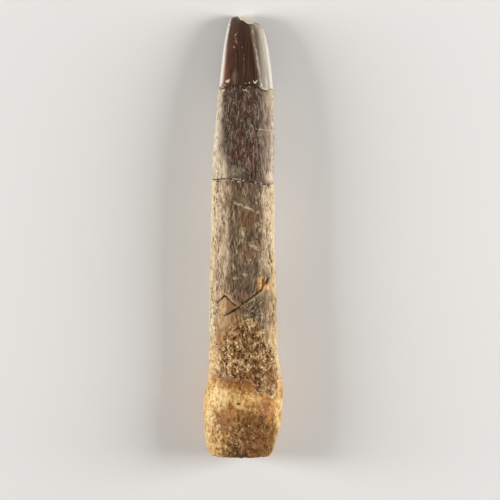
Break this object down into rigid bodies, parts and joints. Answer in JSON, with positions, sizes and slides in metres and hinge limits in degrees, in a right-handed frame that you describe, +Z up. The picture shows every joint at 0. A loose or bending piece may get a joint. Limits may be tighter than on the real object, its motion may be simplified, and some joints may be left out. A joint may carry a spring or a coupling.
{
  "type": "fossil dinosaur tooth",
  "caption": "Peg-shaped fossil tooth with a dark enamel crown, a chipped tip, a cracked root with a sediment crust and a swollen foot, lying on its hollow side.",
  "frame": {"origin": "on the surface the tooth rests on, at the middle of the box round it", "axes": "+Y from the broken root end to the tip, +Z up out of the rounded face, +X to the right with the tip pointing away"},
  "size_m": [0.0114, 0.063, 0.008],
  "materials": {
    "fossil": "mineralised tooth: glossy dark brown enamel at the tip, grading to a matt grey-tan root with an ochre crust"
  },
  "bodies": {
    "root": {"tooth": "fossil"}
  },
  "joints": []
}
